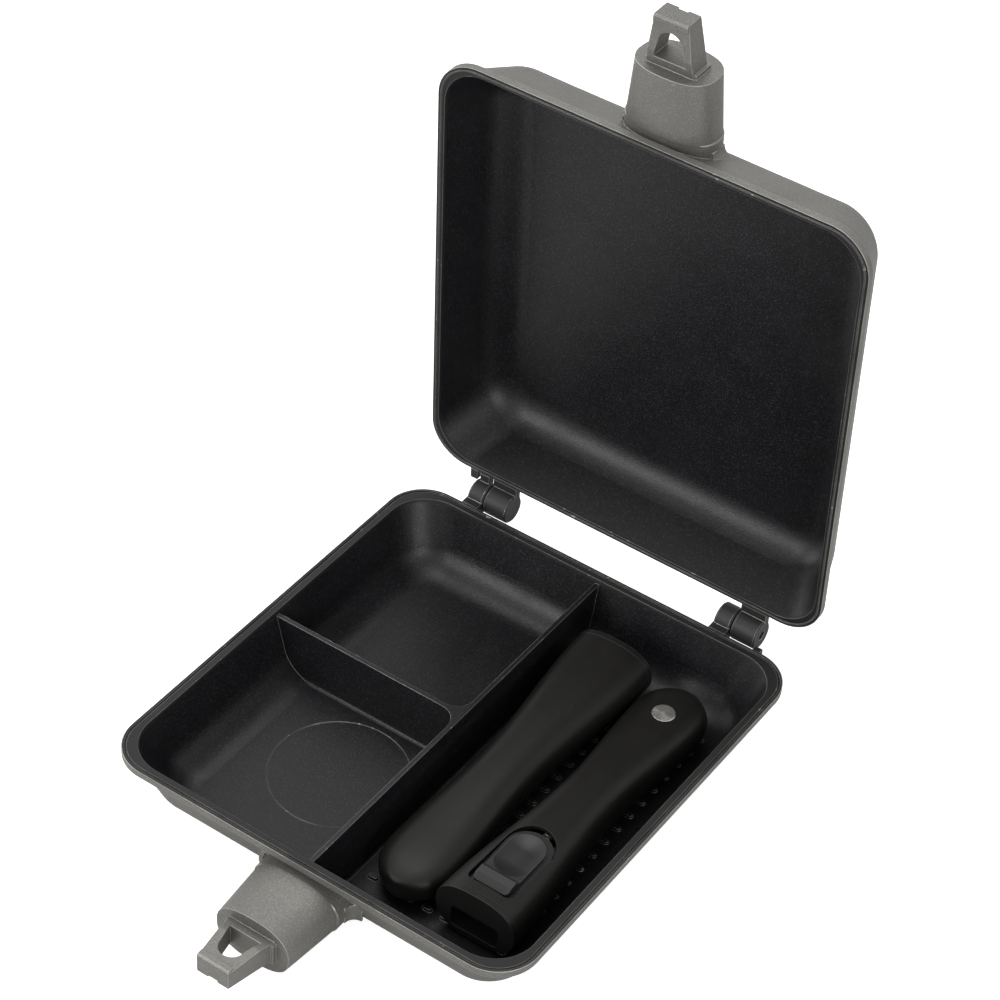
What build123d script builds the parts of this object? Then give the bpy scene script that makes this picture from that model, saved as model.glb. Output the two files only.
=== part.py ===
from build123d import *
import math
import os

# Double-sided grill pan: two cast pans hinged at the back, with two clip-on handles
# stowed in the large compartment. Millimetres, +Z up, lid standing open.
# The origin is the centre of the flat underside of the lower pan.
# X runs along the hinge line, +Y points to the hinge and -Y to the handle sockets.

os.makedirs("parts", exist_ok=True)

# Both pans
pan_width = 215.0
pan_depth = 229.0
rim_corner = 20.0
foot_corner = 23.0
flange_height = 3.5
wall_draft = 18.0
wall = 2.9
floor_thickness = 3.2
foot_fillet = 20.5
low_height = 34.5
lid_height = 38.0
low_overhang = 3.2
lid_overhang = 1.5
closed_gap = 0.2
cut_over = 2.0

# Mating rims: a groove in the lower rim takes a ridge on the lid
groove_inset = 1.2
groove_width = 1.0
groove_depth = 0.8
ridge_play = 0.2

# Compartments of the lower pan
divider_top_drop = 2.2
divider_width = 2.2
divider_draft = 3.5
long_divider_x = 1.5
cross_divider_y = 1.0
divider_corner = 9.0
divider_foot_fillet = 1.6
witness_radius = 32.5
witness_x = -36.0
witness_y = -39.0
witness_depth = 0.25
witness_width = 0.5

# Studs on the floor of the large compartment
stud_length = 5.4
stud_width = 3.0
stud_height = 1.2
stud_taper = 22.0
stud_pitch_x = 9.6
stud_pitch_y = 9.8
stud_edge = 27.5
stud_margin = 6.0
stud_root = 0.2

# Hinge
axis_back = 11.7
axis_drop = 1.5
open_angle = 87.5
knuckle_radius = 7.2
low_knuckle = 8.5
lid_knuckle = 13.0
knuckle_gap = 0.5
left_gap_x = -71.6
right_gap_x = 67.3
knuckle_chamfer = 0.7
web_thickness = 3.4
web_bite = 1.0
pin_radius = 2.25
pin_running_gap = 0.08
pin_press_gap = 0.02
pin_seat_wall = 1.5
pin_end_recess = 1.6
ear_width = 3.8
ear_reach = 6.0
ear_play = 0.6
stop_width = 5.0
stop_depth = 4.0
stop_offset = 0.8
stop_play = 0.15

# Handle sockets on the pans
boss_length = 31.0
boss_drop = 19.2
boss_taper = 5.5
boss_end_width = 38.0
boss_end_height = 26.5
boss_root_width = 45.0
boss_root_height = 25.2
boss_root_length = 1.5
flare_radius = 5.0
flare_height = 9.0
plinth_width = 25.0
plinth_height = 11.0
plinth_length = 2.0
plinth_drop = 18.2
tongue_length = 26.0
tongue_root_width = 23.6
tongue_tip_width = 16.5
tongue_height = 9.0
tongue_drop = 15.0
tongue_bite = 1.0
slope_length = 8.0
slope_drop = 1.8
window_width = 12.0
window_root_width = 16.0
window_start = 4.5
window_end = 19.0
window_over = 5.0
lip_length = 3.4
lip_rise = 1.3
lip_bite = 1.0
notch_width = 5.0
notch_depth = 1.0

# Handle grip: the mouth matches the end of the socket boss
grip_length = 170.0
mouth_width = 40.0
mouth_height = 28.0
mouth_straight = 4.0
waist_width = 27.8
waist_y = 88.0
tail_width = 35.0
tail_height = 20.0
tail_y = 146.0
tail_radius = 19.0
tail_droop = 0.6
oval_power = 2.5
oval_points = 20
grip_sections = 11
collar_length = 2.6
collar_seam = 0.2
magnet_radius = 5.5
magnet_length = 3.0
magnet_proud = 0.3
magnet_gap = 0.05

# Mouth collar with the socket for the tongue
socket_gap = 0.5
socket_extra = 2.5
liner_wall = 1.6
liner_gap = 0.1
socket_corner = 2.5
slot_gap = 0.4

# Latch inside the handle
pawl_width = 8.0
pawl_thickness = 2.4
pawl_clearance = 0.85
pawl_front_y = 12.8
pawl_hook_length = 3.8
pawl_engage = 3.0
pivot_y = 36.0
eye_radius = 2.6
pivot_radius = 1.2
pivot_gap = 0.06
pawl_tail_y = 46.0
pawl_ramp_y = 42.0
pawl_ramp_rise = 2.0
pawl_lift_deg = 9.6
frame_wall = 2.4
frame_gap = 0.3
frame_floor_z = 11.6
frame_floor_thickness = 1.6
frame_cheek_z = 19.0
frame_end_y = 62.0
frame_seat = 2.0
spring_radius = 2.4
spring_wire = 0.8
spring_turns = 6
spring_z = 16.6
spring_gap = 0.3

# Release button
recess_start = 8.0
recess_end = 51.5
recess_width = 22.8
recess_corner = 4.0
button_gap = 0.4
button_rear_gap = 2.0
button_travel = 4.0
plate_bottom_z = 21.2
plate_thickness = 1.8
pad_start = 9.4
pad_end = 19.6
pad_crest_y = 17.0
pad_width = 17.6
pad_top_z = 27.7
pad_round = 2.0
pad_front_rise = 2.6
bowl_end = 45.5
bowl_top_z = 25.2
bowl_dip = 1.6
hollow_width = 9.6
hollow_end = 26.0
hollow_top_z = 22.6
lug_width = 7.0
lug_start = 38.0
lug_length = 3.8
lug_drop = 2.6
leg_y = 46.9
leg_length = 1.8
leg_drop = 6.8

# Stowed handles
stow_gap = 0.15
right_stow_x = 68.0
right_mouth_y = -82.0
left_stow_x = 29.3
left_mouth_y = 83.0

hinge_y = pan_depth / 2 + axis_back
hinge_z = low_height - axis_drop
boss_end_y = -pan_depth / 2 - boss_length
inner_fillet = foot_fillet - wall
draft_slope = math.tan(math.radians(wall_draft))
side_wall = wall / math.cos(math.radians(wall_draft))
low_rim = low_overhang + side_wall
lid_rim = lid_overhang + side_wall


def block(x0, x1, y0, y1, z0, z1):
    """Box between two corners."""
    size = Box(x1 - x0, y1 - y0, z1 - z0)
    return Pos((x0 + x1) / 2, (y0 + y1) / 2, (z0 + z1) / 2) * size


def rounded_plan(inset, corner, z):
    """Plan outline of a pan, drawn in by an inset, at a height."""
    outline = RectangleRounded(pan_width - 2 * inset, pan_depth - 2 * inset, corner)
    return Pos(0, 0, z) * outline


def drafted_bowl(top_inset, top_z, bottom_z, top_corner, edge_radius):
    """Solid with drafted walls and a rounded bottom edge, widest at the top."""
    drop = top_z - bottom_z
    bottom_inset = top_inset + drop * draft_slope
    top = rounded_plan(top_inset, top_corner, top_z)
    bottom = rounded_plan(bottom_inset, foot_corner, bottom_z)
    bowl = loft([bottom, top], ruled=True)
    return fillet(bowl.faces().sort_by(Axis.Z)[0].edges(), edge_radius)


def superellipse_face(width, height, y, base_z):
    """Upright oval face across Y, standing on base_z."""
    points = []
    for i in range(oval_points):
        angle = 2 * math.pi * i / oval_points
        c = math.cos(angle)
        s = math.sin(angle)
        x = width / 2 * math.copysign(abs(c) ** (2 / oval_power), c)
        z = height / 2 * math.copysign(abs(s) ** (2 / oval_power), s)
        points.append((x, y, base_z + height / 2 + z))
    return Face(Wire([Spline(*points, periodic=True)]))


def cylinder_x(radius, x0, x1, y, z):
    """Round bar along X."""
    return Pos((x0 + x1) / 2, y, z) * Rot(0, 90, 0) * Cylinder(radius, x1 - x0)


def window_cutter(top_z, bottom_z):
    """Window through the tongue, arched towards the tip and wider at the root."""
    arch_y = boss_end_y - window_end + window_width / 2
    root_y = boss_end_y - window_start
    height = top_z - bottom_z
    arch = Pos(0, arch_y, (top_z + bottom_z) / 2) * Cylinder(window_width / 2, height)
    outline = Polyline((-window_width / 2, arch_y), (window_width / 2, arch_y),
                       (window_root_width / 2, root_y), (-window_root_width / 2, root_y),
                       close=True)
    return arch + Pos(0, 0, bottom_z) * extrude(make_face(outline), height)


def tongue(rim_z):
    """Plinth and windowed tongue that the handle clips on to."""
    middle = rim_z - tongue_drop
    low = middle - tongue_height / 2
    high = middle + tongue_height / 2
    tip_y = boss_end_y - tongue_length
    inside_y = boss_end_y + tongue_bite
    plinth_z = rim_z - plinth_drop
    plinth = block(-plinth_width / 2, plinth_width / 2, boss_end_y - plinth_length,
                   inside_y, plinth_z - plinth_height / 2, plinth_z + plinth_height / 2)
    outline = Polyline((-tongue_root_width / 2, inside_y), (tongue_root_width / 2, inside_y),
                       (tongue_tip_width / 2, tip_y), (-tongue_tip_width / 2, tip_y),
                       close=True)
    root_low = plinth_z - plinth_height / 2 + slope_drop / 2
    side = Polyline((0, inside_y, high - slope_drop), (0, boss_end_y - slope_length, high),
                    (0, tip_y, high), (0, tip_y, low), (0, inside_y, root_low), close=True)
    slab = extrude(make_face(side), tongue_root_width, dir=(1, 0, 0), both=True)
    plan = Pos(0, 0, root_low - 1) * extrude(make_face(outline), high - root_low + 2)
    lip = block(-tongue_tip_width / 2, tongue_tip_width / 2, tip_y, tip_y + lip_length,
                high - lip_bite, high + lip_rise)
    lip = chamfer(lip.edges().group_by(Axis.Z)[-1].group_by(Axis.Y)[0], lip_rise / 2)
    notch = Pos(0, tip_y, low) * Cylinder(notch_width / 2, 2 * notch_depth)
    piece = plinth + (slab & plan) + lip - notch
    return piece - window_cutter(high + window_over, root_low - window_over)


def boss_flare(rim_z):
    """Web that curves out from the sides of the boss into the wall."""
    side = boss_root_width / 2 + flare_radius
    middle = rim_z - boss_drop
    low = middle - flare_height / 2
    high = middle + flare_height / 2
    wall_y = -pan_depth / 2 + low_overhang + (rim_z - high) * draft_slope
    front_y = wall_y - flare_radius
    web_plate = block(-side, side, front_y, wall_y + 1, low, high)
    for x in (-side, side):
        corner = Pos(x, front_y, middle) * Cylinder(flare_radius, flare_height + 2)
        web_plate = web_plate - corner
    return web_plate


def boss(rim_z):
    """Oval socket boss on the front wall, running into the pan body."""
    base_z = rim_z - boss_drop - boss_end_height / 2
    root_z = rim_z - boss_drop - boss_root_height / 2
    inside_y = -pan_depth / 2 + foot_fillet + wall
    root_y = -pan_depth / 2 - boss_root_length
    end = superellipse_face(boss_end_width, boss_end_height, boss_end_y, base_z)
    start = superellipse_face(boss_end_width + boss_taper, boss_end_height, root_y, base_z)
    body = loft([end, start])
    root_front = superellipse_face(boss_root_width, boss_root_height, root_y, root_z)
    root = extrude(root_front, inside_y - root_y, dir=(0, 1, 0))
    return body + root + boss_flare(rim_z)


def pan_half(rim_z, height, overhang):
    """Outer casting of one pan with its boss, and the cutter for its cavity."""
    flange = extrude(rounded_plan(0, rim_corner, rim_z - flange_height), flange_height)
    wall_top = rim_z - flange_height / 2
    outer = drafted_bowl(overhang, wall_top, rim_z - height, rim_corner, foot_fillet)
    rim = overhang + side_wall - flange_height * draft_slope
    cavity_top = rim - cut_over * draft_slope
    cavity = drafted_bowl(cavity_top, rim_z + cut_over, rim_z - height + floor_thickness,
                          rim_corner, inner_fillet)
    return flange + outer + boss(rim_z), cavity


def rim_ring(inset, width, low_z, high_z):
    """Thin upright ring that follows the rim."""
    outer = extrude(rounded_plan(inset, rim_corner - inset, low_z), high_z - low_z)
    inner_inset = inset + width
    inner = extrude(rounded_plan(inner_inset, rim_corner - inner_inset, low_z), high_z - low_z)
    return outer - inner


def pocket(x0, x1, y0, y1, floor_z, top_z):
    """Tapered pocket that leaves drafted dividers beside it."""
    shape = Pos((x0 + x1) / 2, (y0 + y1) / 2, top_z) * RectangleRounded(
        x1 - x0, y1 - y0, divider_corner)
    block_shape = extrude(shape, floor_z - top_z, taper=divider_draft)
    return fillet(block_shape.faces().sort_by(Axis.Z)[0].edges(), divider_foot_fillet)


def compartments(cavity):
    """Cavity of the lower pan split by the two dividers."""
    top_z = low_height - divider_top_drop
    reach_x = pan_width / 2 + 10
    reach_y = pan_depth / 2 + 10
    half = divider_width / 2
    right = pocket(long_divider_x + half, reach_x, -reach_y, reach_y, floor_thickness, top_z)
    back = pocket(-reach_x, long_divider_x - half, cross_divider_y + half, reach_y,
                  floor_thickness, top_z)
    front = pocket(-reach_x, long_divider_x - half, -reach_y, cross_divider_y - half,
                   floor_thickness, top_z)
    above = block(-reach_x, reach_x, -reach_y, reach_y, top_z, low_height + 5)
    return (right + back + front + above) & cavity


def stud_field():
    """Rows of low oblong studs on the floor of the large compartment."""
    half_x = pan_width / 2 - stud_edge
    columns = int((half_x - long_divider_x - stud_margin) / stud_pitch_x) + 1
    rows = int((pan_depth / 2 - stud_edge - stud_margin) / stud_pitch_y)
    base = SlotOverall(stud_length, stud_width)
    stud = extrude(Pos(0, 0, floor_thickness - stud_root) * base, stud_height + stud_root,
                   taper=stud_taper)
    studs = []
    for column in range(columns):
        for row in range(-rows, rows + 1):
            x = half_x - column * stud_pitch_x
            studs.append(Pos(x, row * stud_pitch_y, 0) * stud)
    return studs


def witness_ring():
    """Shallow circular mark in the floor of the front compartment."""
    outer = Cylinder(witness_radius, 2 * witness_depth)
    inner = Cylinder(witness_radius - witness_width, 2 * witness_depth)
    return Pos(witness_x, witness_y, floor_thickness) * (outer - inner)


def knuckle(x0, x1):
    """Hinge knuckle on the axis with eased ends."""
    bar = cylinder_x(knuckle_radius, x0, x1, hinge_y, hinge_z)
    ends = bar.edges().filter_by(GeomType.CIRCLE)
    return chamfer(ends, knuckle_chamfer)


def web(x0, x1, z0, z1):
    """Plate from the rim to a knuckle."""
    return block(x0, x1, pan_depth / 2 - web_bite, hinge_y, z0, z1)


def low_hinge(gap_x):
    """Knuckle of the lower pan, left of its gap."""
    x1 = gap_x - knuckle_gap / 2
    x0 = x1 - low_knuckle
    top = low_height - 0.3
    return knuckle(x0, x1) + web(x0, x1, top - 2 * web_thickness, top)


def lid_hinge(gap_x):
    """Knuckle of the lid, right of its gap, drawn with the lid closed."""
    x0 = gap_x + knuckle_gap / 2
    x1 = x0 + lid_knuckle
    bottom = low_height + closed_gap + 0.3
    return knuckle(x0, x1) + web(x0, x1, bottom, bottom + web_thickness)


def pin_span(gap_x):
    """Start and end of a hinge pin along X."""
    start = gap_x - knuckle_gap / 2 - low_knuckle + pin_seat_wall
    end = gap_x + knuckle_gap / 2 + lid_knuckle - pin_end_recess
    return start, end


def opened(shape):
    """Turn a closed lid piece to its open place."""
    axis = Axis((0, hinge_y, hinge_z), (1, 0, 0))
    return shape.rotate(axis, -open_angle)


def make_low_pan():
    """Lower pan with dividers, studs, knuckles and handle socket."""
    shell, cavity = pan_half(low_height, low_height, low_overhang)
    body = shell - compartments(cavity)
    body = body + stud_field() + tongue(low_height)
    body = body - rim_ring(groove_inset, groove_width, low_height - groove_depth, low_height + 1)
    body = body - witness_ring()
    for gap_x in (left_gap_x, right_gap_x):
        body = body + low_hinge(gap_x)
    ear_x = right_gap_x + knuckle_gap / 2 + lid_knuckle + ear_play
    body = body + block(ear_x, ear_x + ear_width, pan_depth / 2 - web_bite,
                        pan_depth / 2 + ear_reach, low_height - 2 * web_thickness,
                        low_height - web_thickness)
    rim_y = hinge_y + closed_gap + axis_drop
    stop_x = left_gap_x - knuckle_gap / 2 - low_knuckle / 2
    stop_top = hinge_z + axis_back - stop_play - 0.1
    body = body + block(stop_x - stop_width / 2, stop_x + stop_width / 2,
                        rim_y - stop_offset, rim_y - stop_offset + stop_depth, hinge_z, stop_top)
    for gap_x in (left_gap_x, right_gap_x):
        start, end = pin_span(gap_x)
        body = body - cylinder_x(pin_radius + pin_press_gap, start, end, hinge_y, hinge_z)
    return body


def make_lid_closed():
    """Lid drawn closed over the lower pan."""
    shell, cavity = pan_half(0, lid_height, lid_overhang)
    half = shell - cavity + tongue(0)
    half = Pos(0, 0, low_height + closed_gap) * Rot(0, 180, 0) * half
    ring_inset = groove_inset + ridge_play
    ring_width = groove_width - 2 * ridge_play
    ridge_low = low_height - groove_depth + closed_gap + ridge_play
    half = half + rim_ring(ring_inset, ring_width, ridge_low, low_height + closed_gap + 1)
    for gap_x in (left_gap_x, right_gap_x):
        half = half + lid_hinge(gap_x)
    ear_x = left_gap_x - knuckle_gap / 2 - low_knuckle - ear_play
    ear_z = low_height + closed_gap + 0.3
    half = half + block(ear_x - ear_width, ear_x, pan_depth / 2 - web_bite,
                        pan_depth / 2 + ear_reach, ear_z, ear_z + web_thickness)
    for gap_x, blind in ((left_gap_x, True), (right_gap_x, False)):
        start, end = pin_span(gap_x)
        bore_end = end + 0.2 if blind else end + 2 * pin_end_recess
        half = half - cylinder_x(pin_radius + pin_running_gap, start, bore_end, hinge_y, hinge_z)
    return half


def ease(start, end, share):
    """Value between two sizes, easing in and out."""
    share = min(max(share, 0), 1)
    return start + (end - start) * (1 - math.cos(math.pi * share)) / 2


def grip_width(y):
    """Width of the handle along its length."""
    if y < waist_y:
        return ease(mouth_width, waist_width, (y - mouth_straight) / (waist_y - mouth_straight))
    return ease(waist_width, tail_width, (y - waist_y) / (tail_y - waist_y))


def grip_height(y):
    """Height of the straight top line above the straight underside."""
    return mouth_height - (mouth_height - tail_height) * y / tail_y


def grip_outline():
    """Full outer form of a handle, mouth at y = 0 and top up."""
    round_start = grip_length - tail_radius
    faces = []
    for i in range(grip_sections):
        y = round_start * i / (grip_sections - 1)
        faces.append(superellipse_face(grip_width(y), grip_height(y), y, 0))
    for degrees in (25, 45, 62, 75, 84):
        angle = math.radians(degrees)
        y = round_start + tail_radius * math.sin(angle)
        scale = math.cos(angle)
        height = grip_height(y) * (1 - tail_droop * (1 - scale))
        lift = (grip_height(y) - height) / 2
        faces.append(superellipse_face(tail_width * scale, height, y, lift))
    return loft(faces)


def recess_plan(start, end, width, z):
    """Plan of the button opening: square front, round back."""
    back_y = end - width / 2
    front = Pos(0, (start + back_y) / 2, z) * Rectangle(width, back_y - start)
    back = Pos(0, back_y, z) * Circle(width / 2)
    corners = (front + back).vertices().filter_by(lambda v: v.Y < start + 0.1)
    return fillet(corners, recess_corner)


def socket_box():
    """Space for the tongue, in handle coordinates."""
    middle = mouth_height / 2 - (boss_drop - tongue_drop)
    half_w = tongue_root_width / 2 + socket_gap
    low = middle - tongue_height / 2 - lip_rise - socket_gap
    high = middle + tongue_height / 2 + socket_gap
    return half_w, low, high, tongue_length + socket_extra


def socket_prism(grow, y0, y1):
    """Rounded space of the socket, grown outwards, between two depths."""
    half_w, low, high, depth = socket_box()
    plan = RectangleRounded(2 * (half_w + grow), high - low + 2 * grow, socket_corner + grow)
    upright = Plane(origin=(0, y0, (low + high) / 2), x_dir=(1, 0, 0), z_dir=(0, 1, 0))
    return extrude(upright * plan, y1 - y0)


def make_collar(outline):
    """Mouth ring with the lined socket."""
    half_w, low, high, depth = socket_box()
    ring = outline & block(-mouth_width, mouth_width, -1, collar_length, -1, mouth_height + 1)
    liner = socket_prism(liner_wall, 0, depth + liner_wall)
    socket = socket_prism(0, -1, depth)
    slot_half = pawl_width / 2 + slot_gap
    slot = block(-slot_half, slot_half, pawl_front_y - 2, depth + 5, high - 1, high + 5)
    return ring + liner - socket - slot


def make_shell(outline):
    """Grip with room for the collar, the latch, the button and the magnet."""
    half_w, low, high, depth = socket_box()
    front = block(-mouth_width, mouth_width, -1, collar_length + collar_seam, -1, mouth_height + 1)
    gap = liner_wall + liner_gap
    liner_room = socket_prism(gap, 0, depth + gap)
    room_half = pawl_width / 2 + frame_wall + 2 * frame_gap
    plate_z = plate_bottom_z - button_gap / 2
    latch_room = block(-room_half, room_half, pawl_front_y - 3, frame_end_y + frame_gap,
                       frame_floor_z - frame_gap, plate_z + 1)
    recess = extrude(recess_plan(recess_start, recess_end, recess_width, plate_z), mouth_height)
    slide_end = recess_end - button_rear_gap + button_travel + button_gap
    slide = extrude(recess_plan(recess_start, slide_end, recess_width, plate_z),
                    plate_thickness + button_gap)
    bore = Pos(0, tail_y, magnet_base() + magnet_length) * Cylinder(
        magnet_radius + magnet_gap, 2 * magnet_length)
    return outline - front - liner_room - latch_room - recess - slide - bore


def magnet_base():
    """Height of the magnet's seat in the handle."""
    return tail_height - magnet_length


def make_magnet():
    """Round magnet set in the top of the tail."""
    disc = Pos(0, tail_y, magnet_base() + magnet_length / 2) * Cylinder(
        magnet_radius, magnet_length)
    return chamfer(disc.edges().sort_by(Axis.Z)[-1], magnet_proud)


def pivot_z():
    """Height of the pawl pivot above the underside of the handle."""
    half_w, low, high, depth = socket_box()
    return high + pawl_clearance + pawl_thickness / 2


def make_frame():
    """Latch frame with two cheeks, a floor and a spring seat."""
    inner = pawl_width / 2 + frame_gap
    outer = inner + frame_wall
    half_w, low, high, depth = socket_box()
    start = depth + liner_wall + 0.3
    cheek_end = pawl_tail_y + 2
    floor_top = frame_floor_z + frame_floor_thickness
    base = block(-outer, outer, start, frame_end_y, frame_floor_z, floor_top)
    left = block(-outer, -inner, start, cheek_end, frame_floor_z, frame_cheek_z)
    right = block(inner, outer, start, cheek_end, frame_floor_z, frame_cheek_z)
    seat = block(-outer, outer, frame_end_y - frame_seat, frame_end_y, frame_floor_z, frame_cheek_z)
    hole = cylinder_x(pivot_radius + pin_press_gap, -outer - 1, outer + 1, pivot_y, pivot_z())
    return base + left + right + seat - hole


def make_pivot_pin():
    """Pin that carries the pawl."""
    outer = pawl_width / 2 + frame_gap + frame_wall
    return cylinder_x(pivot_radius, -outer, outer, pivot_y, pivot_z())


def make_pawl():
    """Lever whose hook drops into the window of the tongue."""
    middle = pivot_z()
    low = middle - pawl_thickness / 2
    high = middle + pawl_thickness / 2
    half_w, socket_low, socket_high, depth = socket_box()
    hook_low = socket_high - socket_gap - pawl_engage
    hook_back = pawl_front_y + pawl_hook_length
    side = Polyline((0, pawl_front_y, high), (0, pawl_ramp_y, high),
                    (0, pawl_tail_y, high + pawl_ramp_rise), (0, pawl_tail_y, low),
                    (0, hook_back, low), (0, hook_back, hook_low),
                    (0, pawl_front_y + 1, hook_low), close=True)
    plate = extrude(make_face(side), pawl_width / 2, dir=(1, 0, 0), both=True)
    eye = cylinder_x(eye_radius, -pawl_width / 2, pawl_width / 2, pivot_y, middle)
    bore = cylinder_x(pivot_radius + pivot_gap, -pawl_width, pawl_width, pivot_y, middle)
    return plate + eye - bore


def make_button():
    """Sliding release button: plate, raised pad, thumb bowl and two lugs below."""
    start = recess_start + button_gap
    end = recess_end - button_rear_gap
    width = recess_width - 2 * button_gap
    top = plate_bottom_z + plate_thickness
    plate = extrude(recess_plan(start, end, width, plate_bottom_z), plate_thickness)
    side = Polyline((0, pad_start, top - 1), (0, pad_start + 0.5, top + pad_front_rise),
                    (0, pad_start + 4, pad_top_z - 0.3), (0, pad_crest_y, pad_top_z),
                    (0, pad_end, bowl_top_z), (0, pad_end, top - 1), close=True)
    pad = extrude(make_face(side), pad_width / 2, dir=(1, 0, 0), both=True)
    corners = pad.faces().sort_by(Axis.Y)[0].edges().filter_by(Axis.X, reverse=True)
    pad = fillet(corners, pad_round)
    back_y = bowl_end - pad_width / 2
    bed = block(-pad_width / 2, pad_width / 2, pad_end - 1, back_y, top - 1, bowl_top_z)
    rear_height = bowl_top_z - top + 1
    rear = Pos(0, back_y, bowl_top_z - rear_height / 2) * Cylinder(pad_width / 2, rear_height)
    bowl_radius = ((pad_width / 2) ** 2 + bowl_dip ** 2) / (2 * bowl_dip)
    dish_y = (pad_end + bowl_end) / 2
    dish_half = (bowl_end - pad_end - pad_width) / 2
    dish = Pos(0, dish_y, bowl_top_z - bowl_dip + bowl_radius) * Rot(90, 0, 0) * Cylinder(
        bowl_radius, 2 * dish_half)
    ends = [Pos(0, dish_y + side_y, bowl_top_z - bowl_dip + bowl_radius) * Sphere(bowl_radius)
            for side_y in (-dish_half, dish_half)]
    body = plate + pad + ((bed + rear) - dish - ends)
    hollow = block(-hollow_width / 2, hollow_width / 2, recess_start, hollow_end,
                   plate_bottom_z - 1, hollow_top_z)
    lug = block(-lug_width / 2, lug_width / 2, lug_start, lug_start + lug_length,
                plate_bottom_z - lug_drop, plate_bottom_z + 0.5)
    leg = block(-lug_width / 2, lug_width / 2, leg_y, leg_y + leg_length,
                plate_bottom_z - leg_drop, plate_bottom_z + 0.5)
    return body - hollow + lug + leg


def make_spring():
    """Coil spring between the button leg and the frame seat."""
    start = leg_y + leg_length + spring_gap
    end = frame_end_y - frame_seat - spring_gap
    length = end - start - spring_wire
    pitch = length / spring_turns
    path = Helix(pitch=pitch, height=length, radius=spring_radius)
    section = Plane(origin=path @ 0, z_dir=path % 0) * Circle(spring_wire / 2)
    coil = sweep(section, path=path)
    return Pos(0, start + spring_wire / 2, spring_z) * Rot(-90, 0, 0) * coil


def stow_right(shape):
    """Right handle: top up, mouth to the front."""
    rest_z = floor_thickness + stud_height + stow_gap
    return Pos(right_stow_x, right_mouth_y, rest_z) * shape


def left_tilt():
    """Angle that lets the upturned handle rest on its button pad and its tail."""
    return math.atan2(pad_top_z - tail_height, tail_y - pad_crest_y)


def stow_left(shape):
    """Left handle: underside up, mouth to the back."""
    tilt = left_tilt()
    height = pad_crest_y * math.sin(tilt) + pad_top_z * math.cos(tilt)
    rest_z = floor_thickness + stud_height + stow_gap + height
    return Pos(left_stow_x, left_mouth_y, rest_z) * Rot(180 + math.degrees(tilt), 0, 0) * shape


def save(shape, name):
    """Write one piece."""
    export_step(shape, "parts/" + name + ".step")
    print(name, round(shape.volume, 1))


save(make_low_pan(), "lower_pan")
save(opened(make_lid_closed()), "lid_pan")
for name, gap_x in (("left", left_gap_x), ("right", right_gap_x)):
    start, end = pin_span(gap_x)
    save(cylinder_x(pin_radius, start, end, hinge_y, hinge_z), "hinge_pin_" + name)

grip = grip_outline()
handle_pieces = {
    "grip": make_shell(grip),
    "collar": make_collar(grip),
    "latch_frame": make_frame(),
    "pawl_pin": make_pivot_pin(),
    "pawl": make_pawl(),
    "button": make_button(),
    "spring": make_spring(),
    "magnet": make_magnet(),
}
for name, shape in handle_pieces.items():
    save(stow_left(shape), "left_handle_" + name)
    save(stow_right(shape), "right_handle_" + name)
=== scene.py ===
"""Looks of the double-sided grill pan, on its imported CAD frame.

Metres, +Z up. The lid stands open and both handles lie in the large compartment. The CAD nodes
keep their own meshes and get node-based finishes here. The camera stands where the photograph's
camera stood, over a plain pale floor.
"""

import logging
import math
from dataclasses import dataclass
from enum import Enum
from typing import Optional, Sequence, Union

import bmesh
import bpy
from mathutils import Matrix, Vector


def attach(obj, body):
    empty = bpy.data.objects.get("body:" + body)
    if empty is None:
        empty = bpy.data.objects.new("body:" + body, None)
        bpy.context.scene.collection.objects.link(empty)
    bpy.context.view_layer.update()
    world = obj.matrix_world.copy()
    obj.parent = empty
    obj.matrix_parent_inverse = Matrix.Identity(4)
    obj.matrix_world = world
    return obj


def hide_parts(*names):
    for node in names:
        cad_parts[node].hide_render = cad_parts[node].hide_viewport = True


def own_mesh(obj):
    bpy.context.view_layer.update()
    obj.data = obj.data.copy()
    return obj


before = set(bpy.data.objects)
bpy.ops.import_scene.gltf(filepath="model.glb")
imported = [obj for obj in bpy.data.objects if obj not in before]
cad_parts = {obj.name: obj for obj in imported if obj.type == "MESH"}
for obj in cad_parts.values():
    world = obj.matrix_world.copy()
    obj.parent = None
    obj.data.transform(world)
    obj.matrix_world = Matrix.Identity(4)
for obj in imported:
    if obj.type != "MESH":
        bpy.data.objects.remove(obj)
LOG = logging.getLogger("grill_pan")

HINGE_Y = 0.1262
HINGE_Z = 0.0330
OPEN_DEGREES = 87.5
WHITE = (1.0, 1.0, 1.0, 1.0)

Socket = bpy.types.NodeSocket
Value = Union[Socket, float, Sequence[float]]
Colour = tuple[float, float, float]
Triple = tuple[float, float, float]
Span = tuple[float, float]


class Side(Enum):
    """The two handles, by the side of the compartment that they lie in."""

    LEFT = "left"
    RIGHT = "right"


class Half(Enum):
    """The two pans that the hinge joins."""

    LOWER = "lower_pan"
    LID = "lid_pan"


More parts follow.
